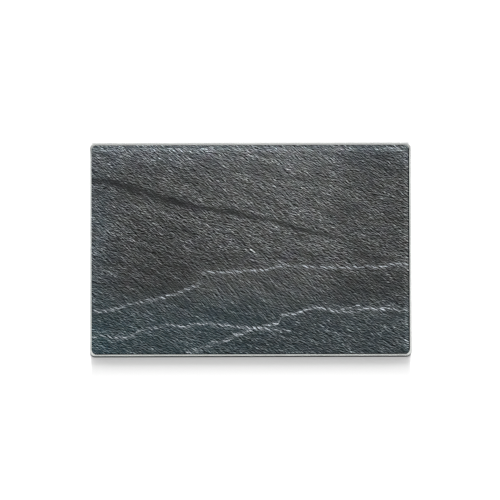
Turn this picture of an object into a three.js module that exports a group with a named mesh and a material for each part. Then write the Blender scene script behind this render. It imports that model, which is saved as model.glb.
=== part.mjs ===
// Glass cutting board with a slate-look decor, lying on its four feet.
//
// A pane of tempered glass with a ground edge carries a printed decor on its back.
// A white film covers the back and shows as a thin pale rim round the print.
// Four clear bumper feet are bonded to that film.
//
// Millimetres, +Z up. X runs along the board's length and Y across its width, away from the cook.
// The origin is on the worktop, under the middle of the board.
import * as THREE from "three";

// Glass pane.
const BOARD_LENGTH = 300;
const BOARD_WIDTH = 200;
const GLASS_THICKNESS = 5;
const CORNER_RADIUS = 5;
const EDGE_ROUNDING = 0.25; // radius that breaks the sharp rim where the edge meets each face

// Layers on the back of the pane.
const PRINT_MARGIN = 1.2; // from the rim of the flat back to the print
const PRINT_THICKNESS = 0.1;
const BACKING_MARGIN = 0.1; // from the rim of the flat back to the film, which reaches past the print
const BACKING_THICKNESS = 0.12;
const BOND_LINE = 0.02; // glue between two bonded pieces
const LEAST_CORNER = 0.5; // smallest radius that a layer's corner is cut to

// Bumper feet and the adhesive discs that hold them.
const FOOT_DIAMETER = 12;
const FOOT_HEIGHT = 2.5;
const FOOT_SHOULDER = 0.6; // straight wall next to the adhesive, before the dome starts
const FOOT_DOME_WIDTH = 2; // how far the dome draws in before the flat that stands on the worktop
const FOOT_INSET = 18; // from the pane's outer edge to the middle of a foot
const ADHESIVE_RIM = 0.5; // how far a disc stays inside its foot
const ADHESIVE_THICKNESS = 0.2;

// Fineness of round stretches.
const CORNER_STEPS = 6;
const EDGE_STEPS = 5;
const FOOT_SIDES = 32;
const DOME_STEPS = 5;

// Heights of the stack, from the worktop up.
const adhesiveBottom = FOOT_HEIGHT + BOND_LINE;
const backingBottom = adhesiveBottom + ADHESIVE_THICKNESS + BOND_LINE;
const printBottom = backingBottom + BACKING_THICKNESS + BOND_LINE;
const glassBottom = printBottom + PRINT_THICKNESS + BOND_LINE;

// Height of the straight band of the edge, between its two roundings.
const edgeLand = GLASS_THICKNESS - 2 * EDGE_ROUNDING;

// How far each layer's outline lies inside the pane's outer edge.
const printInset = EDGE_ROUNDING + PRINT_MARGIN;
const backingInset = EDGE_ROUNDING + BACKING_MARGIN;

const finish = {
  glass: new THREE.MeshStandardMaterial({
    color: 0xdcebe6,
    roughness: 0.12,
    metalness: 0,
    transparent: true,
    opacity: 0.35,
  }),
  print: new THREE.MeshStandardMaterial({ color: 0x4b5052, roughness: 0.6, metalness: 0 }),
  film: new THREE.MeshStandardMaterial({ color: 0xe8e8e4, roughness: 0.45, metalness: 0 }),
  foot: new THREE.MeshStandardMaterial({ color: 0xd9dcdc, roughness: 0.35, metalness: 0 }),
  adhesive: new THREE.MeshStandardMaterial({ color: 0xcfd2cf, roughness: 0.5, metalness: 0 }),
};

// The pane's outline drawn in by an inset, with its rounded corners kept concentric.
function boardOutline(inset) {
  const x = BOARD_LENGTH / 2 - inset;
  const y = BOARD_WIDTH / 2 - inset;
  const radius = Math.max(CORNER_RADIUS - inset, LEAST_CORNER);
  const quarter = Math.PI / 2;
  const outline = new THREE.Shape();
  outline.moveTo(radius - x, -y);
  outline.lineTo(x - radius, -y);
  outline.absarc(x - radius, radius - y, radius, -quarter, 0);
  outline.lineTo(x, y - radius);
  outline.absarc(x - radius, y - radius, radius, 0, quarter);
  outline.lineTo(radius - x, y);
  outline.absarc(radius - x, y - radius, radius, quarter, 2 * quarter);
  outline.lineTo(-x, radius - y);
  outline.absarc(radius - x, radius - y, radius, 2 * quarter, 3 * quarter);
  return outline;
}

function piece(name, geometry, material) {
  const mesh = new THREE.Mesh(geometry, material);
  mesh.name = name;
  return mesh;
}

// Tempered pane: two flat faces joined by a straight ground edge, with a small rounding at each face.
function glassPane() {
  const geometry = new THREE.ExtrudeGeometry(boardOutline(0), {
    depth: edgeLand,
    curveSegments: CORNER_STEPS,
    bevelEnabled: true,
    bevelThickness: EDGE_ROUNDING,
    bevelSize: EDGE_ROUNDING,
    bevelOffset: -EDGE_ROUNDING,
    bevelSegments: EDGE_STEPS,
  });
  const pane = piece("glass_pane", geometry, finish.glass);
  pane.position.z = glassBottom + EDGE_ROUNDING;
  return pane;
}

// A thin sheet bonded to the back of the pane.
function backLayer(name, inset, bottom, thickness, material) {
  const geometry = new THREE.ExtrudeGeometry(boardOutline(inset), {
    depth: thickness,
    curveSegments: CORNER_STEPS,
    bevelEnabled: false,
  });
  const layer = piece(name, geometry, material);
  layer.position.z = bottom;
  return layer;
}

// Turns a profile of (radius, height) points about the vertical axis.
function turned(profile) {
  return new THREE.LatheGeometry(profile, FOOT_SIDES).rotateX(Math.PI / 2);
}

// Moulded bumper: a flat contact, a quarter-round dome and a short straight shoulder.
function footGeometry() {
  const outer = FOOT_DIAMETER / 2;
  const contact = outer - FOOT_DOME_WIDTH;
  const domeHeight = FOOT_HEIGHT - FOOT_SHOULDER;
  const profile = [new THREE.Vector2(0, 0)];
  for (let step = 0; step <= DOME_STEPS; step++) {
    const turn = (step / DOME_STEPS) * (Math.PI / 2);
    const radius = contact + FOOT_DOME_WIDTH * Math.sin(turn);
    profile.push(new THREE.Vector2(radius, domeHeight * (1 - Math.cos(turn))));
  }
  profile.push(new THREE.Vector2(outer, FOOT_HEIGHT));
  profile.push(new THREE.Vector2(0, FOOT_HEIGHT));
  return turned(profile);
}

function adhesiveGeometry() {
  const radius = FOOT_DIAMETER / 2 - ADHESIVE_RIM;
  return turned([
    new THREE.Vector2(0, 0),
    new THREE.Vector2(radius, 0),
    new THREE.Vector2(radius, ADHESIVE_THICKNESS),
    new THREE.Vector2(0, ADHESIVE_THICKNESS),
  ]);
}

// One foot with its adhesive disc, under one corner of the board.
function footStation(corner, sideX, sideY) {
  const station = new THREE.Group();
  station.position.x = sideX * (BOARD_LENGTH / 2 - FOOT_INSET);
  station.position.y = sideY * (BOARD_WIDTH / 2 - FOOT_INSET);
  const foot = piece(`foot_${corner}`, footGeometry(), finish.foot);
  const adhesive = piece(`foot_adhesive_${corner}`, adhesiveGeometry(), finish.adhesive);
  adhesive.position.z = adhesiveBottom;
  station.add(foot, adhesive);
  return station;
}

const board = new THREE.Group();
board.add(glassPane());
board.add(backLayer("decor_print", printInset, printBottom, PRINT_THICKNESS, finish.print));
board.add(backLayer("backing_film", backingInset, backingBottom, BACKING_THICKNESS, finish.film));
for (const [depthName, sideY] of [["front", -1], ["rear", 1]]) {
  for (const [widthName, sideX] of [["left", -1], ["right", 1]]) {
    board.add(footStation(`${depthName}_${widthName}`, sideX, sideY));
  }
}

export default board;
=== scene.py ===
"""Glass cutting board with a slate-look decor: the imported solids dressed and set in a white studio.

Metres, +Z up, in the frame of the solids: X along the board, Y away from the cook, worktop at Z = 0.
The decor and the floor's glow are laid out in millimetres from the middle of the board.
"""
import math

import bmesh
import bpy
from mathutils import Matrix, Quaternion, Vector


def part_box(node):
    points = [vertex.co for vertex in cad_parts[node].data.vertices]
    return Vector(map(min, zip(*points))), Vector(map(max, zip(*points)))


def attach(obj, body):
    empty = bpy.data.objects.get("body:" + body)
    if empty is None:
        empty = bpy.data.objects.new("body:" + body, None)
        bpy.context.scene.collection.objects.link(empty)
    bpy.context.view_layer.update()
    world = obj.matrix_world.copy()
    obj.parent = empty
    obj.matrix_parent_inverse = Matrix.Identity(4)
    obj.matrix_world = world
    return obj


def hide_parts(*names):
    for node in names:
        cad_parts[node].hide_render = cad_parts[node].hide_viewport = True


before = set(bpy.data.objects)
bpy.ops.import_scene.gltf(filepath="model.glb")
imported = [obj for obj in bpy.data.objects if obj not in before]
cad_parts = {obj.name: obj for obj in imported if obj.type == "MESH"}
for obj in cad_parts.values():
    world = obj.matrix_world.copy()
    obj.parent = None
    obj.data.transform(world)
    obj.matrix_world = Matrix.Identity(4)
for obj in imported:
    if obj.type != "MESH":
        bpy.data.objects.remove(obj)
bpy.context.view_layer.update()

MM = 0.001

# The photograph's framing, in pixels of its 500 x 500 frame.
PHOTO_SIDE = 500
BOARD_LENGTH_IN_PHOTO = 321.4
BOARD_MIDDLE_IN_PHOTO = (250.5, 249.6)
CAMERA_LENS = 1000.0
CAMERA_SENSOR = 36.0
CAMERA_ELEVATION = math.radians(83.5)
CAMERA_ROLL = math.radians(-0.13)

# The pane's ground edge and corners, as the solid has them.
EDGE_ROUNDING = 0.25 * MM
CORNER_RADIUS = 5.0 * MM
CORNER_STEPS = 16
EDGE_STEPS = 6

# Places of the edge's and the arrises' finishes among the pane's, after the faces' one.
PANE_EDGE = 1
PANE_ARRIS = 2

# Bumper feet.
FOOT_SHOULDER = 0.6 * MM
FOOT_DOME_WIDTH = 2.0 * MM
FOOT_LIP = 0.15 * MM
FOOT_SIDES = 56
DOME_STEPS = 12
FLAT_RING = 0.8  # share of the radius where a ring inside each flat end keeps its shading level

# Studio floor.
FLOOR_HALF = 6.0
FLOOR_DROP = 0.05 * MM  # the feet stand on the floor without sharing its plane
FLOOR_COLOUR = (0.72, 0.72, 0.72, 1)

# The floor's own glow where it is looked at, 1 being white by itself. Its lengths are in millimetres.
# Round the board the glow is shaped into painted shade: held back in front, gone under the board, less
# right behind it, with painted light along the front edge and at the shadow's ends.
FLOOR_GLOW_FRONT = 0.36
FLOOR_GLOW_SIDE = 0.70
FLOOR_GLOW_EDGE = 0.14  # painted light added next to the front edge
FLOOR_GLOW_EDGE_REACH = 4.0
FLOOR_GLOW_GAIN = (4.0, 80.0)  # from here to there, out from the board, the glow gains another 1
SHADOW_END_BLUR = 2.0  # over which the shadow in front breaks off at its two ends
SHADOW_END_RISE = 0.23  # added to the glow at the two ends
SHADOW_END_START = 3.0  # out in front, where the rise has come in
SHADOW_END_FADE = 2.7  # over which the rise falls off along the board
SHADOW_END_SPREAD = 0.5  # added to that for each millimetre out in front
SHADOW_REACH = 18.0  # out in front, where the rise is gone
UNDERSHADE = 0.38  # that the dark ground under the board reaches out in front
UNDERSHADE_RIM = (-0.1, 0.2)  # over which that ground ends
BACK_SHADE = 0.72  # taken off the glow right behind the board
BACK_SHADE_START = (-0.5, 0.0)
BACK_SHADE_END = (3.3, 1.4)

# Studio light.
WALL_LEVEL = 0.10
CEILING_LEVEL = 0.03
CEILING_SPAN = (0.5, 0.95)  # how steep a look goes from the walls to the ceiling, 1 being straight up
KEY_DISTANCE = 3.0
KEY_ELEVATION = math.radians(29.5)
KEY_SIZE = (0.15, 2.8)
KEY_POWER = 184.0

# Finishes. Colours are linear, a sheen is the range of a roughness, a clearness the light let through.
GLASS_IOR = 1.52
GLASS_FACE = (0.985, 0.995, 0.99, 1)
GLASS_PEEL = {"scale": 0.45, "detail": 3.0, "roughness": 0.55}
GLASS_PEEL_BUMP = {"distance": 0.004 * MM, "strength": 0.5}
BONDED_SKIN = (0.02, 0.01)  # height in millimetres within which a point counts as on the pane's back
BONDED_RIM = 0.01  # millimetres each side of the print's rim where the bond ends
GLASS_EDGE = (0.24, 0.33, 0.30, 1)
GLASS_EDGE_SHADE = (0.41, 0.41, 0.405, 1)  # left of the light that crosses the edge unbent
EDGE_SHEEN = (0.10, 0.18)
EDGE_GRIND = {"scale": 9.0}
EDGE_GRIND_DRAW = 0.05  # how fast the grinding marks vary along the edge, as a share of across it
EDGE_GRIND_BUMP = {"distance": 0.025 * MM, "strength": 0.5}
ARRIS_DULL = (0.76, 0.80, 0.79, 1)
ARRIS_WHITE = (0.90, 0.92, 0.91, 1)
ARRIS_ROUGHNESS = 0.45
ARRIS_CLEARNESS = 0.8
ARRIS_CHIPS = {"scale": 2.0}
ARRIS_CHIPS_BUMP = {"distance": 0.02 * MM, "strength": 0.4}
FILM_DULL = (0.87, 0.87, 0.86, 1)
FILM_WHITE = (0.93, 0.93, 0.92, 1)
FILM_SHEEN = (0.38, 0.52)
FILM_BLOTCH = {"scale": 0.03, "detail": 3.0}
FILM_PEEL = {"scale": 0.9}
FILM_PEEL_BUMP = {"distance": 0.08 * MM, "strength": 0.4}
BUMPER_IOR = 1.49
BUMPER_DULL = (0.80, 0.83, 0.84, 1)
BUMPER_PALE = (0.90, 0.92, 0.92, 1)
BUMPER_SHEEN = (0.10, 0.22)
BUMPER_CLEARNESS = 0.85
BUMPER_CLOUD = {"scale": 0.5}
BUMPER_SKIN = {"scale": 3.0}
BUMPER_SKIN_BUMP = {"distance": 0.03 * MM, "strength": 0.3}
ADHESIVE_DULL = (0.60, 0.62, 0.60, 1)
ADHESIVE_PALE = (0.72, 0.74, 0.72, 1)
ADHESIVE_SHEEN = (0.35, 0.55)
ADHESIVE_CLEARNESS = 0.4
ADHESIVE_CELLS = {"scale": 2.5}
ADHESIVE_CELLS_BUMP = {"distance": 0.03 * MM, "strength": 0.3}

# Colours of the slate decor.
SLATE_GREY = (0.0710, 0.0712, 0.0713, 1)
SLATE_COOL = (0.0648, 0.0708, 0.0800, 1)
SLATE_LAVENDER = (0.0730, 0.0690, 0.0810, 1)
SLATE_BLUE = (0.0518, 0.0672, 0.0760, 1)
SLATE_TEAL = (0.0350, 0.0696, 0.0846, 1)
SLATE_PALE = (0.0692, 0.0708, 0.0732, 1)
TINT_WARM = (1.026, 1.0, 0.973, 1)
TINT_COOL = (0.969, 1.0, 1.031, 1)
TINT_GREEN = (0.981, 1.019, 0.981, 1)
TINT_PINK = (1.016, 0.984, 1.016, 1)
VEIN_WHITE = (0.84, 0.88, 0.96, 1)
BORDER_BLACK = (0.012, 0.016, 0.018, 1)
PRINT_ROUGHNESS = 0.6

# Rim of the picture, in millimetres: a dark border in front and at the right, white film outside it.
BORDER_SPAN = (1.6, 0.7)
BLANK_FRONT = 0.26  # left unprinted along the front
BLANK_BACK = 0.2
BLANK_RIM = 0.03
PICTURE_CORNER = 5.4  # radius of the picture's own corners

# Cleft strokes of the slate: long thin lines over shorter ripples, with bright crests among them.
# Each lay has its fall to the right, its fineness, its stretch along that fall, its order and its depth.
STROKE_CYCLES = 0.9
LINES = {"tilt": math.radians(45.0), "scale": 0.72, "stretch": 5.5, "order": 0.9, "depth": 3.05}
RIPPLES = {"tilt": math.radians(20.0), "scale": 0.72, "stretch": 2.2, "order": 0.8, "depth": 5.65}
HAIRS = {"tilt": math.radians(47.0), "scale": 0.55, "stretch": 3.0, "order": 0.9, "depth": 2.2}
CRESTS = {"tilt": math.radians(36.0), "scale": 0.26, "stretch": 4.0, "order": 0.9, "depth": 3.0}
DASHES = {"tilt": math.radians(33.0), "scale": 0.42, "stretch": 2.0, "order": 0.9, "depth": 3.0}
JOINTS = {"tilt": math.radians(57.0), "scale": 0.17, "stretch": 14.0, "order": 1.0, "depth": 0.6}
CALM_FRONT_SPAN = (-10.0, -50.0)
CALM_FRONT = 0.6  # how strong the long lines are towards the front, where the slate is smoother
RIPPLED_PATCH = {"centre": (70, 5), "reach": (130, 34)}  # where the ripples show most
LINES_LOST_TO_RIPPLES = 0.3
HAIR_PATCH = {"centre": (-5, -44), "reach": (165, 44)}  # where fine parallel lines thin the ripples out
RIPPLES_AMONG_HAIRS = 0.6
JOINT_PATCH = {"centre": (-10, 0), "reach": (110, 110)}
RELIEF_LEAST = 0.08
RELIEF_POWER = 1.9
CREST_SPAN = (0.25, 0.9)
CREST_LIVELY = (0.8, 1.05)  # the crests rise from least to full as the strokes get livelier
CREST_LEAST = 0.2
CREST_LIFT = 1.05
DASH_SPAN = (0.35, 1.0)
DASH_FRONT = (-45.0, -70.0)  # the dashes come in towards the front
DASH_RIGHT = (-100.0, 60.0)  # and grow towards the right
DASH_LEAST = 0.3
DASH_LIFT = 2.8

# Bedding of the slate: slow bands that carry more and brighter strokes, and the waver of the strokes.
BEDDING_TILT = math.radians(20.0)
BEDDING_LENGTH = 45.0
BEDDING_WIDTH = 9.0
BEDDING_NOISE = {"detail": 3.0, "roughness": 0.72}
BEDDING_LIFT = 1.15
BEDDING_VIGOUR = 1.7
SOFT_NOISE = {"detail": 1.0}
WAVER_LENGTH = 7.0
WAVER_WIDTH = 4.0
WAVER_REACH = 2.2
PATH_WAVER = 2.0  # how far the same waver moves the veins and the fold

# Oval patches where the strokes are livelier or calmer, in millimetres from the middle of the board.
STROKE_PATCHES = {
    "calm_back": {"centre": (45, 92), "reach": (130, 48), "gain": -0.10},
    "lively_left": {"centre": (-60, 10), "reach": (90, 34), "gain": 0.10},
    "lively_middle": {"centre": (60, 5), "reach": (120, 30), "gain": 0.05},
    "calm_middle": {"centre": (30, -40), "reach": (125, 36), "gain": -0.06},
}

# Oval patches that lift or lower the slate's tone. Those along the back are partly painted light,
# against the shade that the glass's back edge casts.
TONE_LEVEL = 0.93
TONE_PATCHES = {
    # partly the slate's tone, partly painted light against the shade of the glass's back edge
    "bright_back": {"centre": (0, 108), "reach": (230, 42), "gain": 0.62},
    # painted light: these two strips along the back margin cancel the shade that the glass's back edge
    # casts
    "painted_light_back_rim": {"centre": (0, 100), "reach": (500, 12), "gain": 0.60},
    "painted_light_back_edge": {"centre": (0, 95.4), "reach": (500, 3.8), "gain": 1.5},
    "bright_middle": {"centre": (45, 52), "reach": (110, 72), "gain": 0.24},
    "bright_left_end": {"centre": (-152, 12), "reach": (26, 40), "gain": 0.30},
    "bright_back_left": {"centre": (-150, 95), "reach": (45, 40), "gain": 0.25},
    "bright_calm": {"centre": (12, -32), "reach": (80, 28), "gain": 0.22},
    "dim_left": {"centre": (-90, -6), "reach": (62, 48), "gain": -0.24},
    "bright_right_rim": {"centre": (145.4, 10), "reach": (2.6, 500), "gain": 0.4},
    "dim_back_right": {"centre": (110, 88), "reach": (50, 18), "gain": -0.28},
    "dim_right": {"centre": (112, 40), "reach": (48, 60), "gain": -0.17},
    "dim_right_low": {"centre": (125, -38), "reach": (60, 26), "gain": -0.20},
    "dim_front_right": {"centre": (105, -95), "reach": (110, 34), "gain": -0.08},
    "dim_front": {"centre": (0, -86), "reach": (58, 20), "gain": -0.14},
    "dim_front_left": {"centre": (-90, -85), "reach": (150, 60), "gain": -0.03},
}

# Where the slate's tints come in, in millimetres, and how much of each there is.
COOL_BACK = (66.0, 92.0)
COOL_BACK_GAP = 25.0  # place along the board where the cool back is weakest
COOL_BACK_SIDES = (20.0, 90.0)
COOL_BACK_LEAST = 0.4
COOL_LEFT = (-105.0, -146.0)
BLUE_FRONT = (-18.0, -80.0)
# painted shade colour: blue along the back margin, the tint of the shade that the glass's back edge
# casts
BLUE_BACK = (91.0, 96.0)
BLUE_BACK_SHARE = 0.5
TEAL_FRONT = (-30.0, -75.0)
TEAL_LEFT = (60.0, -40.0)
TEAL_SHARE = 0.4
TEAL_CORNER_X = (-95.0, -148.0)
TEAL_CORNER_Y = (-55.0, -97.0)
TEAL_END_X = (-118.0, -148.0)
TEAL_END_Y = (70.0, 30.0)
TEAL_END_SHARE = 0.2
CAST_SIZE = 24.0
LAVENDER_SPAN = (0.5, 0.8)
LAVENDER_DEPTH = (-70.0, 0.0)
LAVENDER_SHARE = (0.25, 0.9)
TINT_SIZE = 11.0
TINT_SPAN = (0.35, 0.65)
TINT_LAYERS = ((0.0, TINT_WARM, TINT_COOL), (7.0, TINT_GREEN, TINT_PINK))
PALE_SPAN = (0.8, 2.8)
PALE_SHARE = 0.6

# Pale veins: a path in millimetres from the middle of the board, broken into strokes that step down it.
VEINS = {
    "upper_left": {
        "path": [
            (-147, -57.7), (-129, -55.9), (-115, -51.2), (-94, -47.9), (-79, -44.2), (-57, -36.2),
            (-46, -30.5),
        ],
        "stroke": 7.0,
        "drop": 3.8,
        "width": 0.58,
        "strength": 0.9,
    },
    "upper_right": {
        "path": [
            (-45, -21.2), (-10, -20.3), (20, -17.5), (26, -15.6), (41, -15.4), (61, -16.6), (89, -17.0),
            (104, -15.9), (122, -16.1), (136, -13.8), (148, -14.7),
        ],
        "stroke": 8.0,
        "drop": 2.2,
        "width": 0.54,
        "strength": 0.85,
    },
    "lower_left": {
        "path": [
            (-148, -82.0), (-133, -80.7), (-123, -83.0), (-109, -79.8), (-104, -75.5), (-89, -73.7),
            (-77, -70.4), (-61, -72.3), (-48, -69.5), (-25, -71.3), (9, -74.2), (37, -76.5),
        ],
        "stroke": 7.5,
        "drop": 2.8,
        "width": 0.56,
        "strength": 0.85,
    },
    "front_branch": {
        "path": [
            (-60, -97.5), (-57, -96.5), (-44, -92.7), (-35, -87.7), (-27, -86.5), (-14, -80.2),
            (-8, -78.8),
        ],
        "stroke": 9.0,
        "drop": 5.4,
        "width": 0.62,
        "strength": 0.95,
    },
    "lower_right": {
        "path": [
            (-14, -80.2), (-6, -78.3), (0, -75.3), (16, -70.9), (26, -68.4), (29, -62.0), (41, -60.6),
            (49, -57.3), (57, -54.5), (71, -55.9), (82, -58.2), (96, -57.8), (108, -55.2), (119, -56.3),
            (132, -56.3), (140, -57.3), (148, -56.4),
        ],
        "stroke": 7.0,
        "drop": 2.4,
        "width": 0.64,
        "strength": 1.0,
    },
    "inner_feather": {
        "path": [(83, -56.9), (91, -54.9), (103, -52.2)],
        "stroke": 6.0,
        "drop": 1.2,
        "width": 0.9,
        "strength": 0.6,
    },
    "outer_feather": {
        "path": [(121, -55.5), (126, -54.0), (133, -52.0)],
        "stroke": 6.0,
        "drop": 1.2,
        "width": 0.9,
        "strength": 0.6,
    },
}

# What all veins share: how their strokes slip along, swell, break into flecks and fray.
VEIN_CORE = 2.7  # how strongly the strokes of a vein stand out
VEIN_CORE_SPAN = (0.8, 0.3)
VEIN_CORE_LEAST = 0.15
VEIN_RIDGE = (0.25, 1.7)
VEIN_TIP_SPAN = (0.5, 0.2)  # from a stroke's tip to its body, as shares of its length
VEIN_TIP = 0.3
VEIN_END_OUT = 2.0  # millimetres past a path's end where the vein is gone
VEIN_END_IN = 3.0  # millimetres short of it where the vein is full
SLIP_SIZE = (9.0, 30.0)
SLIP_REACH = 14.0
FLECK_SIZE = (2.4, 1.6)
FLECK_SPAN = (0.32, 0.62)
FLECK_LEAST = 0.25
SWELL_SIZE = (22.0, 22.0)
SWELL_SPAN = (0.25, 0.6)
SWELL_LEAST = 0.45
FRAY_SPAN = (3.5, 0.4)
FRAY_SHARE = 0.12

# The dark fold that crosses the upper left of the slate, and the tone of its smooth hollow.
FOLD_LEVEL = 0.34
FOLD_PATH = [
    (-148, 64.3), (-136, 64.6), (-125, 62.1), (-102, 54.8), (-80, 47.5), (-57, 42.4), (-33, 37.3),
    (-11, 34.3), (0, 31.6), (21, 26.7), (33, 22.2), (57, 16.3), (85, 9.6), (106, 5.0),
]
FOLD_BULGE_START = (-148.0, -122.0)  # where the hollow starts to bulge out, at the left
FOLD_BULGE_END = (-45.0, -85.0)  # and where it stops
FOLD_RISE = 3.4  # how far the hollow reaches above its line
FOLD_BULGE_RISE = 2.8
FOLD_FALL_SPAN = (45.0, -10.0)
FOLD_FALL = (1.6, 4.0)  # how far it reaches below, at the right and at the left
FOLD_BULGE_FALL = 2.2
FOLD_DEPTH_SPAN = (75.0, -10.0)
FOLD_DEPTH = (0.55, 0.72)
FOLD_BULGE_DEPTH = 0.08
FOLD_SOFTNESS = (1.2, 0.2)
FOLD_END = (112.0, 92.0)


class Wire:
    """A socket of a node tree. Arithmetic on it adds Math nodes."""

    def __init__(self, nodes, socket):
        self.nodes = nodes
        self.socket = socket

    def math(self, operation, *values):
        return self.nodes.add("ShaderNodeMath", {"operation": operation}, dict(enumerate(values)))

    def __add__(self, other):
        return self.math("ADD", self, other)

    def __radd__(self, other):
        return self.math("ADD", other, self)

    def __sub__(self, other):
        return self.math("SUBTRACT", self, other)

    def __rsub__(self, other):
        return self.math("SUBTRACT", other, self)

    def __mul__(self, other):
        return self.math("MULTIPLY", self, other)

    def __rmul__(self, other):
        return self.math("MULTIPLY", other, self)

    def __truediv__(self, other):
        return self.math("DIVIDE", self, other)

    def __rtruediv__(self, other):
        return self.math("DIVIDE", other, self)

    def __neg__(self):
        return self.math("MULTIPLY", self, -1)

    def __abs__(self):
        return self.math("ABSOLUTE", self)

    def exp(self):
        return self.math("EXPONENT", self)

    def power(self, exponent):
        return self.math("POWER", self, exponent)

    def fraction(self):
        return self.math("FRACT", self)

    def above(self, other):
        return self.math("MAXIMUM", self, other)

    def below(self, other):
        return self.math("MINIMUM", self, other)


class Nodes:
    """A node tree being wired."""

    def __init__(self, tree):
        self.tree = tree
        tree.nodes.clear()

    def add(self, kind, settings=None, sockets=None, output=0):
        """Adds a node of a type, with its settings, and the values or links of its sockets."""
        node = self.tree.nodes.new(kind)
        for name, value in (settings or {}).items():
            if name == "points":
                draw_curve(node.mapping, value)
            else:
                setattr(node, name, value)
        for name, value in (sockets or {}).items():
            if isinstance(value, Wire):
                self.tree.links.new(value.socket, node.inputs[name])
            else:
                node.inputs[name].default_value = value
        return Wire(self, node.outputs[output]) if len(node.outputs) else None

    def ramp(self, value, start, end, low=0.0, high=1.0):
        """Eases from low to high while value goes from start to end."""
        settings = {"interpolation_type": "SMOOTHSTEP"}
        sockets = {0: value, 1: start, 2: end, 3: low, 4: high}
        return self.add("ShaderNodeMapRange", settings, sockets)

    def blend(self, factor, colour, other, how="MIX"):
        settings = {"data_type": "RGBA", "blend_type": how}
        return self.add("ShaderNodeMix", settings, {0: factor, 6: colour, 7: other}, 2)

    def vector(self, x, y, z=0.0):
        return self.add("ShaderNodeCombineXYZ", None, {0: x, 1: y, 2: z})

    def scaled(self, vector, scale):
        return self.add("ShaderNodeVectorMath", {"operation": "SCALE"}, {0: vector, "Scale": scale})

    def noise(self, vector, scale=1.0, detail=2.0, roughness=0.5):
        sockets = {"Vector": vector, "Scale": scale, "Detail": detail, "Roughness": roughness}
        return self.add("ShaderNodeTexNoise", None, sockets)

    def point(self):
        """The surface point in millimetres."""
        return self.scaled(self.add("ShaderNodeTexCoord", output="Object"), 1 / MM)

    def place(self):
        """The surface point's X, Y and Z in millimetres."""
        point = self.point()
        return [self.add("ShaderNodeSeparateXYZ", None, {0: point}, axis) for axis in range(3)]

    def light_path(self, output):
        return self.add("ShaderNodeLightPath", output=output)

    def bump(self, height, distance, strength):
        sockets = {"Height": height, "Distance": distance, "Strength": strength}
        return self.add("ShaderNodeBump", None, sockets)

    def surface(self, sockets):
        return self.add("ShaderNodeBsdfPrincipled", None, sockets)

    def output(self, surface, kind="ShaderNodeOutputMaterial"):
        self.add(kind, None, {"Surface": surface})


def draw_curve(mapping, points):
    """Gives a curve mapping these points, in order of x."""
    curve = mapping.curves[0]
    first, last = curve.points[0], curve.points[-1]
    first.location = points[0]
    last.location = points[-1]
    for point in points[1:-1]:
        curve.points.new(*point)
    mapping.update()


def between(share, low, high):
    """A level that goes from low to high with a share."""
    return low + share * (high - low)


def finish(name):
    """A new material and its emptied node tree."""
    material = bpy.data.materials.new(name)
    material.use_nodes = True
    return material, Nodes(material.node_tree)


def glass_skin(nodes, glass, straight_colour, bonded=0.0):
    """Glass that lamp light and scattered light cross unbent, and all light where a layer is bonded."""
    unbent = nodes.light_path("Is Shadow Ray").above(nodes.light_path("Is Diffuse Ray")).above(bonded)
    straight = nodes.add("ShaderNodeBsdfTransparent", None, {"Color": straight_colour})
    nodes.output(nodes.add("ShaderNodeMixShader", None, {0: unbent, 1: glass, 2: straight}))


def clear_face(pane_low):
    """The flat faces of the tempered pane: clear, with a faint orange peel, bonded to the print."""
    material, nodes = finish("tempered_glass")
    x, y, z = nodes.place()
    _, print_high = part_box("decor_print")
    peel = nodes.noise(nodes.point(), **GLASS_PEEL)
    glass = nodes.surface({
        "Base Color": GLASS_FACE,
        "Roughness": 0.0,
        "IOR": GLASS_IOR,
        "Transmission Weight": 1.0,
        "Normal": nodes.bump(peel, **GLASS_PEEL_BUMP),
    })
    back = nodes.ramp(z - pane_low.z / MM, *BONDED_SKIN)
    past_print = (abs(x) - print_high.x / MM).above(abs(y) - print_high.y / MM)
    glass_skin(nodes, glass, GLASS_FACE, back * nodes.ramp(past_print, BONDED_RIM, -BONDED_RIM))
    return material


def ground_edge():
    """The pane's straight edge: dark green glass, ground along its length to a satin finish."""
    material, nodes = finish("ground_glass_edge")
    x, y, z = nodes.place()
    grind = nodes.noise(nodes.vector(x * EDGE_GRIND_DRAW, y * EDGE_GRIND_DRAW, z), **EDGE_GRIND)
    glass = nodes.surface({
        "Base Color": GLASS_EDGE,
        "Roughness": between(grind, *EDGE_SHEEN),
        "IOR": GLASS_IOR,
        "Transmission Weight": 1.0,
        "Normal": nodes.bump(grind, **EDGE_GRIND_BUMP),
    })
    glass_skin(nodes, glass, GLASS_EDGE_SHADE)
    return material


def frosted_arris():
    """The small rounding at each face, left white by the grinding belt."""
    material, nodes = finish("frosted_glass_arris")
    chips = nodes.noise(nodes.point(), **ARRIS_CHIPS)
    frost = nodes.surface({
        "Base Color": nodes.blend(chips, ARRIS_DULL, ARRIS_WHITE),
        "Roughness": ARRIS_ROUGHNESS,
        "IOR": GLASS_IOR,
        "Transmission Weight": ARRIS_CLEARNESS,
        "Normal": nodes.bump(chips, **ARRIS_CHIPS_BUMP),
    })
    glass_skin(nodes, frost, GLASS_EDGE_SHADE)
    return material


def turned(x, y, tilt):
    """Coordinates along and across a direction that falls to the right by tilt."""
    along = x * math.cos(tilt) - y * math.sin(tilt)
    across = x * math.sin(tilt) + y * math.cos(tilt)
    return along, across


def strokes(nodes, x, y, lay):
    """Fine strokes that lie along one direction, about zero."""
    along, across = turned(x, y, lay["tilt"])
    sockets = {
        "Vector": nodes.vector(along / lay["stretch"], across),
        "Scale": lay["scale"],
        "Frequency": STROKE_CYCLES,
        "Anisotropy": lay["order"],
        "Orientation 2D": math.pi / 2,
    }
    grain = nodes.add("ShaderNodeTexGabor", {"gabor_type": "2D"}, sockets, "Value") - 0.5
    return grain * lay["depth"]


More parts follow.
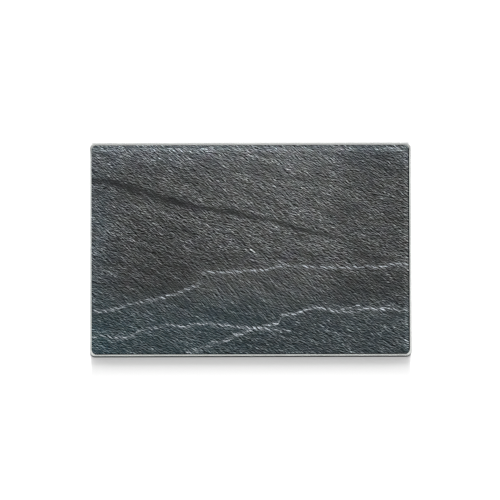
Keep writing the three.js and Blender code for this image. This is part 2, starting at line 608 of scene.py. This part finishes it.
def patch(nodes, x, y, spot):
    """1 at the middle of an oval patch, easing to 0 at its rim."""
    dx = (x - spot["centre"][0]) / spot["reach"][0]
    dy = (y - spot["centre"][1]) / spot["reach"][1]
    return nodes.ramp(dx * dx + dy * dy, 1.0, 0.0)


def patched(nodes, x, y, level, spots):
    """A level that oval patches lift or lower."""
    for spot in spots.values():
        level = level + patch(nodes, x, y, spot) * spot["gain"]
    return level


def blotches(nodes, x, y, size):
    """Soft blotches of a size, from 0 to 1."""
    return nodes.noise(nodes.vector(x / size[0], y / size[1]), **SOFT_NOISE)


def path_height(nodes, x, path, half_x, half_y):
    """The height in millimetres of a drawn path above the place x along the board."""
    points = [((px + half_x) / (2 * half_x), (py + half_y) / (2 * half_y)) for px, py in path]
    share = (x + half_x) / (2 * half_x)
    curve = nodes.add("ShaderNodeFloatCurve", {"points": points}, {"Value": share})
    return curve * (2 * half_y) - half_y


def fold_shade(nodes, x, above_fold):
    """How dark the fold is, from the height above its line: a soft hollow, widest at the left."""
    bulge = nodes.ramp(x, *FOLD_BULGE_END) * nodes.ramp(x, *FOLD_BULGE_START)
    rise = FOLD_RISE + bulge * FOLD_BULGE_RISE
    fall = nodes.ramp(x, *FOLD_FALL_SPAN, *FOLD_FALL) + bulge * FOLD_BULGE_FALL
    aside = (above_fold / rise).above(-above_fold / fall)
    depth = nodes.ramp(x, *FOLD_DEPTH_SPAN, *FOLD_DEPTH) + bulge * FOLD_BULGE_DEPTH
    return nodes.ramp(aside, *FOLD_SOFTNESS) * depth * nodes.ramp(x, *FOLD_END)


def vein_mask(nodes, x, y, vein, shape):
    """How white a vein is: a thin core of stepped strokes with frayed grain beside it."""
    start, end = vein["path"][0][0], vein["path"][-1][0]
    part = ((x + shape["slip"]) / vein["stroke"]).fraction()
    above = y - path_height(nodes, x, vein["path"], *shape["half"]) + shape["waver"]
    body = nodes.ramp(abs(part - 0.5), *VEIN_TIP_SPAN, VEIN_TIP, 1.0)
    off = abs(above - (0.5 - part) * vein["drop"]) / (body * vein["width"])
    reach = nodes.ramp(x, start - VEIN_END_OUT, start + VEIN_END_IN)
    reach = reach * nodes.ramp(x, end + VEIN_END_OUT, end - VEIN_END_IN)
    core = nodes.ramp(off, *VEIN_CORE_SPAN) * body * (VEIN_CORE_LEAST + shape["ridge"]) * shape["fleck"]
    frayed = nodes.ramp(abs(above), *FRAY_SPAN) * shape["ridge"] * FRAY_SHARE
    return ((core * VEIN_CORE + frayed) * reach * shape["swell"] * vein["strength"]).below(1.0)


def past_outline(x, y, half_x, half_y, radius):
    """The distance in millimetres outside a rectangle with rounded corners, below 0 within."""
    out_x = (abs(x) - (half_x - radius)).above(0.0)
    out_y = (abs(y) - (half_y - radius)).above(0.0)
    return (out_x * out_x + out_y * out_y).power(0.5) - radius


def bedding_planes(nodes, x, y):
    """The slow bands of the slate and the waver of its strokes, both about zero."""
    along, across = turned(x, y, BEDDING_TILT)
    bands = nodes.vector(along / BEDDING_LENGTH, across / BEDDING_WIDTH)
    bedding = nodes.noise(bands, **BEDDING_NOISE) - 0.5
    waver = blotches(nodes, along, across, (WAVER_LENGTH, WAVER_WIDTH)) - 0.5
    return bedding, waver


def cleft_relief(nodes, x, y, bedding, waver):
    """How bright the strokes of the cleft slate are, about 1."""
    wavy = y + waver * WAVER_REACH
    rippled = patch(nodes, x, y, RIPPLED_PATCH)
    hairy = patch(nodes, x, y, HAIR_PATCH)
    lines = strokes(nodes, x, wavy, LINES) * nodes.ramp(y, *CALM_FRONT_SPAN, 1.0, CALM_FRONT)
    ripples = strokes(nodes, x, wavy, RIPPLES) * (1 - hairy * (1 - RIPPLES_AMONG_HAIRS))
    hairs = strokes(nodes, x, wavy, HAIRS) * hairy
    grain = lines * (1 - rippled * LINES_LOST_TO_RIPPLES) + ripples + hairs
    lively = patched(nodes, x, y, 1.0, STROKE_PATCHES)
    vigour = (1 + bedding * BEDDING_VIGOUR) * lively
    relief = (1 + grain * vigour).above(RELIEF_LEAST).power(RELIEF_POWER)
    crest = nodes.ramp(strokes(nodes, x, wavy, CRESTS), *CREST_SPAN)
    crest = crest * nodes.ramp(lively, *CREST_LIVELY, CREST_LEAST, CREST_LIFT)
    dash = nodes.ramp(strokes(nodes, x, wavy, DASHES), *DASH_SPAN)
    dash = dash * nodes.ramp(y, *DASH_FRONT) * nodes.ramp(x, *DASH_RIGHT, DASH_LEAST, 1.0)
    joints = strokes(nodes, x, y, JOINTS) * patch(nodes, x, y, JOINT_PATCH)
    return relief * (1 + crest) * (1 + joints) * (1 + dash * DASH_LIFT)


def slate_tint(nodes, x, y, relief):
    """The slate's colour in plain light: grey, cool at the back and the left, blue to teal in front, and
    a painted blue shade along the back margin.
    """
    sides = nodes.ramp(abs(x - COOL_BACK_GAP), *COOL_BACK_SIDES, COOL_BACK_LEAST, 1.0)
    cool = nodes.ramp(y, *COOL_BACK) * sides + nodes.ramp(x, *COOL_LEFT)
    colour = nodes.blend(cool.below(1.0), SLATE_GREY, SLATE_COOL)
    blue = nodes.ramp(y, *BLUE_FRONT) + nodes.ramp(y, *BLUE_BACK, 0.0, BLUE_BACK_SHARE)
    colour = nodes.blend(blue, colour, SLATE_BLUE)
    teal = nodes.ramp(y, *TEAL_FRONT) * nodes.ramp(x, *TEAL_LEFT, 0.0, TEAL_SHARE)
    colour = nodes.blend(teal, colour, SLATE_TEAL)
    corner = nodes.ramp(x, *TEAL_CORNER_X) * nodes.ramp(y, *TEAL_CORNER_Y)
    left_end = nodes.ramp(x, *TEAL_END_X) * nodes.ramp(y, *TEAL_END_Y, 0.0, TEAL_END_SHARE)
    colour = nodes.blend((corner + left_end).below(1.0), colour, SLATE_TEAL)
    cast = nodes.noise(nodes.vector(x / CAST_SIZE, y / CAST_SIZE))
    lavender = nodes.ramp(cast, *LAVENDER_SPAN) * nodes.ramp(y, *LAVENDER_DEPTH, *LAVENDER_SHARE)
    colour = nodes.blend(lavender, colour, SLATE_LAVENDER)
    for layer, tint, other in TINT_LAYERS:
        spots = nodes.noise(nodes.vector(x / TINT_SIZE, y / TINT_SIZE, layer), **SOFT_NOISE)
        spotted = nodes.blend(nodes.ramp(spots, *TINT_SPAN), tint, other)
        colour = nodes.blend(1.0, colour, spotted, "MULTIPLY")
    return nodes.blend(nodes.ramp(relief, *PALE_SPAN, 0.0, PALE_SHARE), colour, SLATE_PALE)


def slate_print():
    """The decor: dark slate with slanting strokes, pale veins, a dark fold and a thin dark border."""
    material, nodes = finish("slate_decor")
    x, y, _ = nodes.place()
    _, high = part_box("decor_print")
    half_x, half_y = high.x / MM, high.y / MM

    bedding, waver = bedding_planes(nodes, x, y)
    relief = cleft_relief(nodes, x, y, bedding, waver)
    above_fold = y - path_height(nodes, x, FOLD_PATH, half_x, half_y) + waver * PATH_WAVER
    smoothed = relief + (FOLD_LEVEL - relief) * fold_shade(nodes, x, above_fold)
    tone = patched(nodes, x, y, TONE_LEVEL, TONE_PATCHES)
    light = smoothed * (bedding * BEDDING_LIFT).exp() * tone
    slate = nodes.scaled(slate_tint(nodes, x, y, relief), light)

    shape = {
        "half": (half_x, half_y),
        "waver": waver * PATH_WAVER,
        "ridge": nodes.ramp(relief, *VEIN_RIDGE),
        "fleck": nodes.ramp(blotches(nodes, x, y, FLECK_SIZE), *FLECK_SPAN, FLECK_LEAST, 1.0),
        "slip": (blotches(nodes, x, y, SLIP_SIZE) - 0.5) * SLIP_REACH,
        "swell": nodes.ramp(blotches(nodes, x, y, SWELL_SIZE), *SWELL_SPAN, SWELL_LEAST, 1.0),
    }
    for vein in VEINS.values():
        slate = nodes.blend(vein_mask(nodes, x, y, vein, shape), slate, VEIN_WHITE)

    inside = (half_x - x).below(half_y + y)
    slate = nodes.blend(nodes.ramp(inside, *BORDER_SPAN), slate, BORDER_BLACK)
    blank = (BLANK_FRONT - half_y - y).above(y - half_y + BLANK_BACK)
    blank = blank.above(past_outline(x, y, half_x, half_y, PICTURE_CORNER))
    slate = nodes.blend(nodes.ramp(blank, -BLANK_RIM, BLANK_RIM), slate, FILM_WHITE)
    nodes.output(nodes.surface({
        "Base Color": slate,
        "Roughness": PRINT_ROUGHNESS,
        "Specular IOR Level": 0.0,
    }))
    return material


def white_film():
    """White satin film, a little blotchy, with a fine peel."""
    material, nodes = finish("white_backing")
    blotch = nodes.noise(nodes.point(), **FILM_BLOTCH)
    peel = nodes.noise(nodes.point(), **FILM_PEEL)
    nodes.output(nodes.surface({
        "Base Color": nodes.blend(blotch, FILM_DULL, FILM_WHITE),
        "Roughness": between(blotch, *FILM_SHEEN),
        "Normal": nodes.bump(peel, **FILM_PEEL_BUMP),
    }))
    return material


def clear_bumper():
    """Clear moulded polyurethane, a little milky."""
    material, nodes = finish("clear_polyurethane")
    cloud = nodes.noise(nodes.point(), **BUMPER_CLOUD)
    skin = nodes.noise(nodes.point(), **BUMPER_SKIN)
    nodes.output(nodes.surface({
        "Base Color": nodes.blend(cloud, BUMPER_DULL, BUMPER_PALE),
        "Roughness": between(cloud, *BUMPER_SHEEN),
        "IOR": BUMPER_IOR,
        "Transmission Weight": BUMPER_CLEARNESS,
        "Normal": nodes.bump(skin, **BUMPER_SKIN_BUMP),
    }))
    return material


def adhesive_disc():
    """Translucent acrylic adhesive with fine cells."""
    material, nodes = finish("acrylic_adhesive")
    cells = nodes.noise(nodes.point(), **ADHESIVE_CELLS)
    nodes.output(nodes.surface({
        "Base Color": nodes.blend(cells, ADHESIVE_DULL, ADHESIVE_PALE),
        "Roughness": between(cells, *ADHESIVE_SHEEN),
        "Transmission Weight": ADHESIVE_CLEARNESS,
        "Normal": nodes.bump(cells, **ADHESIVE_CELLS_BUMP),
    }))
    return material


def rounded_outline(half_x, half_y, radius):
    """Points round a rectangle with rounded corners and the way each faces, from the front right on."""
    points = []
    for corner, (side_x, side_y) in enumerate([(1, -1), (1, 1), (-1, 1), (-1, -1)]):
        middle = Vector((side_x * (half_x - radius), side_y * (half_y - radius)))
        for step in range(CORNER_STEPS + 1):
            turn = math.pi / 2 * (corner - 1 + step / CORNER_STEPS)
            facing = Vector((math.cos(turn), math.sin(turn)))
            points.append((middle + radius * facing, facing))
    return points


def loft(name, rings, normals=None):
    """A closed skin through rings of equally many points, smooth shaded, with flat caps.

    Where the normals of the points are given too, the shading follows them.
    """
    shell = bmesh.new()
    loops = [[shell.verts.new(point) for point in ring] for ring in rings]
    count = len(loops[0])
    for lower, upper in zip(loops, loops[1:]):
        for i in range(count):
            j = (i + 1) % count
            shell.faces.new((lower[i], lower[j], upper[j], upper[i]))
    shell.faces.new(reversed(loops[0]))
    shell.faces.new(loops[-1])
    for face in shell.faces:
        face.smooth = True
    mesh = bpy.data.meshes.new(name)
    shell.to_mesh(mesh)
    shell.free()
    if normals:
        mesh.normals_split_custom_set_from_vertices([normal for ring in normals for normal in ring])
    piece = bpy.data.objects.new(name, mesh)
    bpy.context.collection.objects.link(piece)
    return piece


def build_pane():
    """The tempered pane: flat faces and a straight ground edge, with a small rounding at each face."""
    low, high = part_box("glass_pane")
    profile = []
    for step in range(EDGE_STEPS + 1):
        turn = math.pi / 2 * step / EDGE_STEPS
        out, down = math.sin(turn), math.cos(turn)
        profile.append((EDGE_ROUNDING * (1 - out), low.z + EDGE_ROUNDING * (1 - down), out, -down))
    mirrored = [(inset, low.z + high.z - height, out, -up) for inset, height, out, up in profile]
    profile += reversed(mirrored)
    rings, normals = [], []
    for inset, height, out, up in profile:
        outline = rounded_outline(high.x - inset, high.y - inset, CORNER_RADIUS - inset)
        rings.append([(point.x, point.y, height) for point, _ in outline])
        normals.append([(facing.x * out, facing.y * out, up) for _, facing in outline])
    pane = loft("tempered_pane", rings, normals)
    for material in (clear_face(low), ground_edge(), frosted_arris()):
        pane.data.materials.append(material)
    for face in pane.data.polygons:
        on_arris = face.center.z < low.z + EDGE_ROUNDING or face.center.z > high.z - EDGE_ROUNDING
        on_side = len(face.vertices) == 4
        if on_side:
            face.material_index = PANE_ARRIS if on_arris else PANE_EDGE
    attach(pane, "root")
    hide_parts("glass_pane")


def build_bumper(corner, material):
    """A moulded foot: flat contact, round dome, short shoulder and a small lip round the bonded face."""
    low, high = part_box(f"foot_{corner}")
    middle = (low + high) / 2
    outer = (high.x - low.x) / 2
    contact = outer - FOOT_DOME_WIDTH
    dome_height = high.z - low.z - FOOT_SHOULDER
    profile = [(contact * FLAT_RING, low.z)]
    for step in range(DOME_STEPS + 1):
        turn = math.pi / 2 * step / DOME_STEPS
        radius = contact + FOOT_DOME_WIDTH * math.sin(turn)
        profile.append((radius, low.z + dome_height * (1 - math.cos(turn))))
    profile += [(outer, high.z - FOOT_LIP), (outer - FOOT_LIP, high.z), (outer * FLAT_RING, high.z)]
    turns = [2 * math.pi * side / FOOT_SIDES for side in range(FOOT_SIDES)]
    rings = []
    for radius, height in profile:
        rings.append([
            (middle.x + radius * math.cos(turn), middle.y + radius * math.sin(turn), height)
            for turn in turns
        ])
    bumper = loft(f"bumper_{corner}", rings)
    bumper.data.materials.append(material)
    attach(bumper, "root")
    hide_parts(f"foot_{corner}")


def dress(node, material):
    """Gives a solid that is shown as it is its finish."""
    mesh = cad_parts[node].data
    mesh.materials.clear()
    mesh.materials.append(material)


def floor_glow(nodes):
    """How brightly the floor glows, shaped into painted shade round the board: dark under it, held back
    in its shadow, white further out.
    """
    x, y, _ = nodes.place()
    _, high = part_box("glass_pane")
    half_x, half_y = high.x / MM, high.y / MM
    past_end = abs(x) - half_x
    behind = y - half_y
    ahead = -y - half_y
    beside = past_end.above(behind)

    glow = nodes.ramp(beside, -SHADOW_END_BLUR, 0.0, FLOOR_GLOW_FRONT, FLOOR_GLOW_SIDE)
    glow = glow + nodes.ramp(ahead, FLOOR_GLOW_EDGE_REACH, 0.0, 0.0, FLOOR_GLOW_EDGE)
    fade = SHADOW_END_FADE + ahead.above(0.0) * SHADOW_END_SPREAD
    ends = (past_end.below(0.0) / fade).exp() * nodes.ramp(ahead, 0.0, SHADOW_END_START)
    glow = glow + ends * nodes.ramp(ahead, 0.0, SHADOW_REACH, SHADOW_END_RISE, 0.0)
    back = nodes.ramp(behind, *BACK_SHADE_START) * nodes.ramp(past_end, 0.0, -SHADOW_END_BLUR)
    glow = glow - back * nodes.ramp(behind, *BACK_SHADE_END, 0.0, BACK_SHADE)
    glow = glow + nodes.ramp(beside.above(ahead), *FLOOR_GLOW_GAIN)
    past_board = past_outline(x, y + UNDERSHADE, half_x, half_y, CORNER_RADIUS / MM)
    return glow * nodes.ramp(past_board, *UNDERSHADE_RIM)


def white_floor():
    """Matt white that glows for the camera and through the glass, and lights nothing."""
    material, nodes = finish("white_floor")
    looked_at = nodes.light_path("Is Camera Ray").above(nodes.light_path("Is Transmission Ray"))
    nodes.output(nodes.surface({
        "Base Color": FLOOR_COLOUR,
        "Roughness": 1.0,
        "Specular IOR Level": 0.0,
        "Emission Color": floor_glow(nodes) * looked_at,
        "Emission Strength": 1.0,
    }))
    return material


def build_floor():
    """A wide flat sheet just under the feet."""
    corners = [(-1, -1), (1, -1), (1, 1), (-1, 1)]
    mesh = bpy.data.meshes.new("studio_floor")
    points = [(x * FLOOR_HALF, y * FLOOR_HALF, -FLOOR_DROP) for x, y in corners]
    mesh.from_pydata(points, [], [(0, 1, 2, 3)])
    mesh.materials.append(white_floor())
    floor = bpy.data.objects.new("studio_floor", mesh)
    bpy.context.collection.objects.link(floor)


def light_studio():
    """A tall narrow softbox behind the board, and a dim dome that the camera sees as white."""
    lamp = bpy.data.lights.new("key_softbox", "AREA")
    lamp.shape = "RECTANGLE"
    lamp.size, lamp.size_y = KEY_SIZE
    lamp.energy = KEY_POWER
    softbox = bpy.data.objects.new("key_softbox", lamp)
    away = Vector((0, math.cos(KEY_ELEVATION), math.sin(KEY_ELEVATION)))
    softbox.location = away * KEY_DISTANCE
    softbox.rotation_euler = away.to_track_quat("Z", "Y").to_euler()
    softbox.visible_camera = False
    bpy.context.collection.objects.link(softbox)

    world = bpy.data.worlds.new("white_studio")
    bpy.context.scene.world = world
    world.use_nodes = True
    nodes = Nodes(world.node_tree)
    direction = nodes.add("ShaderNodeTexCoord", output="Generated")
    up = nodes.add("ShaderNodeSeparateXYZ", None, {0: direction}, 2)
    dome = nodes.ramp(up, *CEILING_SPAN, WALL_LEVEL, CEILING_LEVEL)
    level = dome + nodes.light_path("Is Camera Ray") * (1 - dome)
    nodes.output(nodes.add("ShaderNodeBackground", None, {"Color": level}), "ShaderNodeOutputWorld")


def place_camera():
    """The photograph's view: nearly straight down, front edge at the bottom of the picture."""
    low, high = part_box("glass_pane")
    pixel = (high.x - low.x) / BOARD_LENGTH_IN_PHOTO
    distance = CAMERA_LENS / CAMERA_SENSOR * pixel * PHOTO_SIDE
    aim = (low + high) / 2
    aim.x -= (BOARD_MIDDLE_IN_PHOTO[0] - PHOTO_SIDE / 2) * pixel
    aim.y += (BOARD_MIDDLE_IN_PHOTO[1] - PHOTO_SIDE / 2) * pixel
    away = Vector((0, -math.cos(CAMERA_ELEVATION), math.sin(CAMERA_ELEVATION)))
    lens = bpy.data.cameras.new("photo_camera")
    lens.lens = CAMERA_LENS
    lens.sensor_width = CAMERA_SENSOR
    camera = bpy.data.objects.new("photo_camera", lens)
    camera.location = aim + away * distance
    turn = away.to_track_quat("Z", "Y") @ Quaternion((0, 0, 1), CAMERA_ROLL)
    camera.rotation_euler = turn.to_euler()
    bpy.context.collection.objects.link(camera)
    bpy.context.scene.camera = camera


place_camera()
build_pane()
dress("decor_print", slate_print())
dress("backing_film", white_film())
bumper_finish = clear_bumper()
adhesive_finish = adhesive_disc()
for corner in ("front_left", "front_right", "rear_left", "rear_right"):
    build_bumper(corner, bumper_finish)
    dress(f"foot_adhesive_{corner}", adhesive_finish)
build_floor()
light_studio()
bpy.context.scene.view_settings.view_transform = "Standard"
# The denoiser's guides stay unfiltered, because filtered ones smear the decor's fine strokes.
bpy.context.scene.cycles.denoising_prefilter = "NONE"
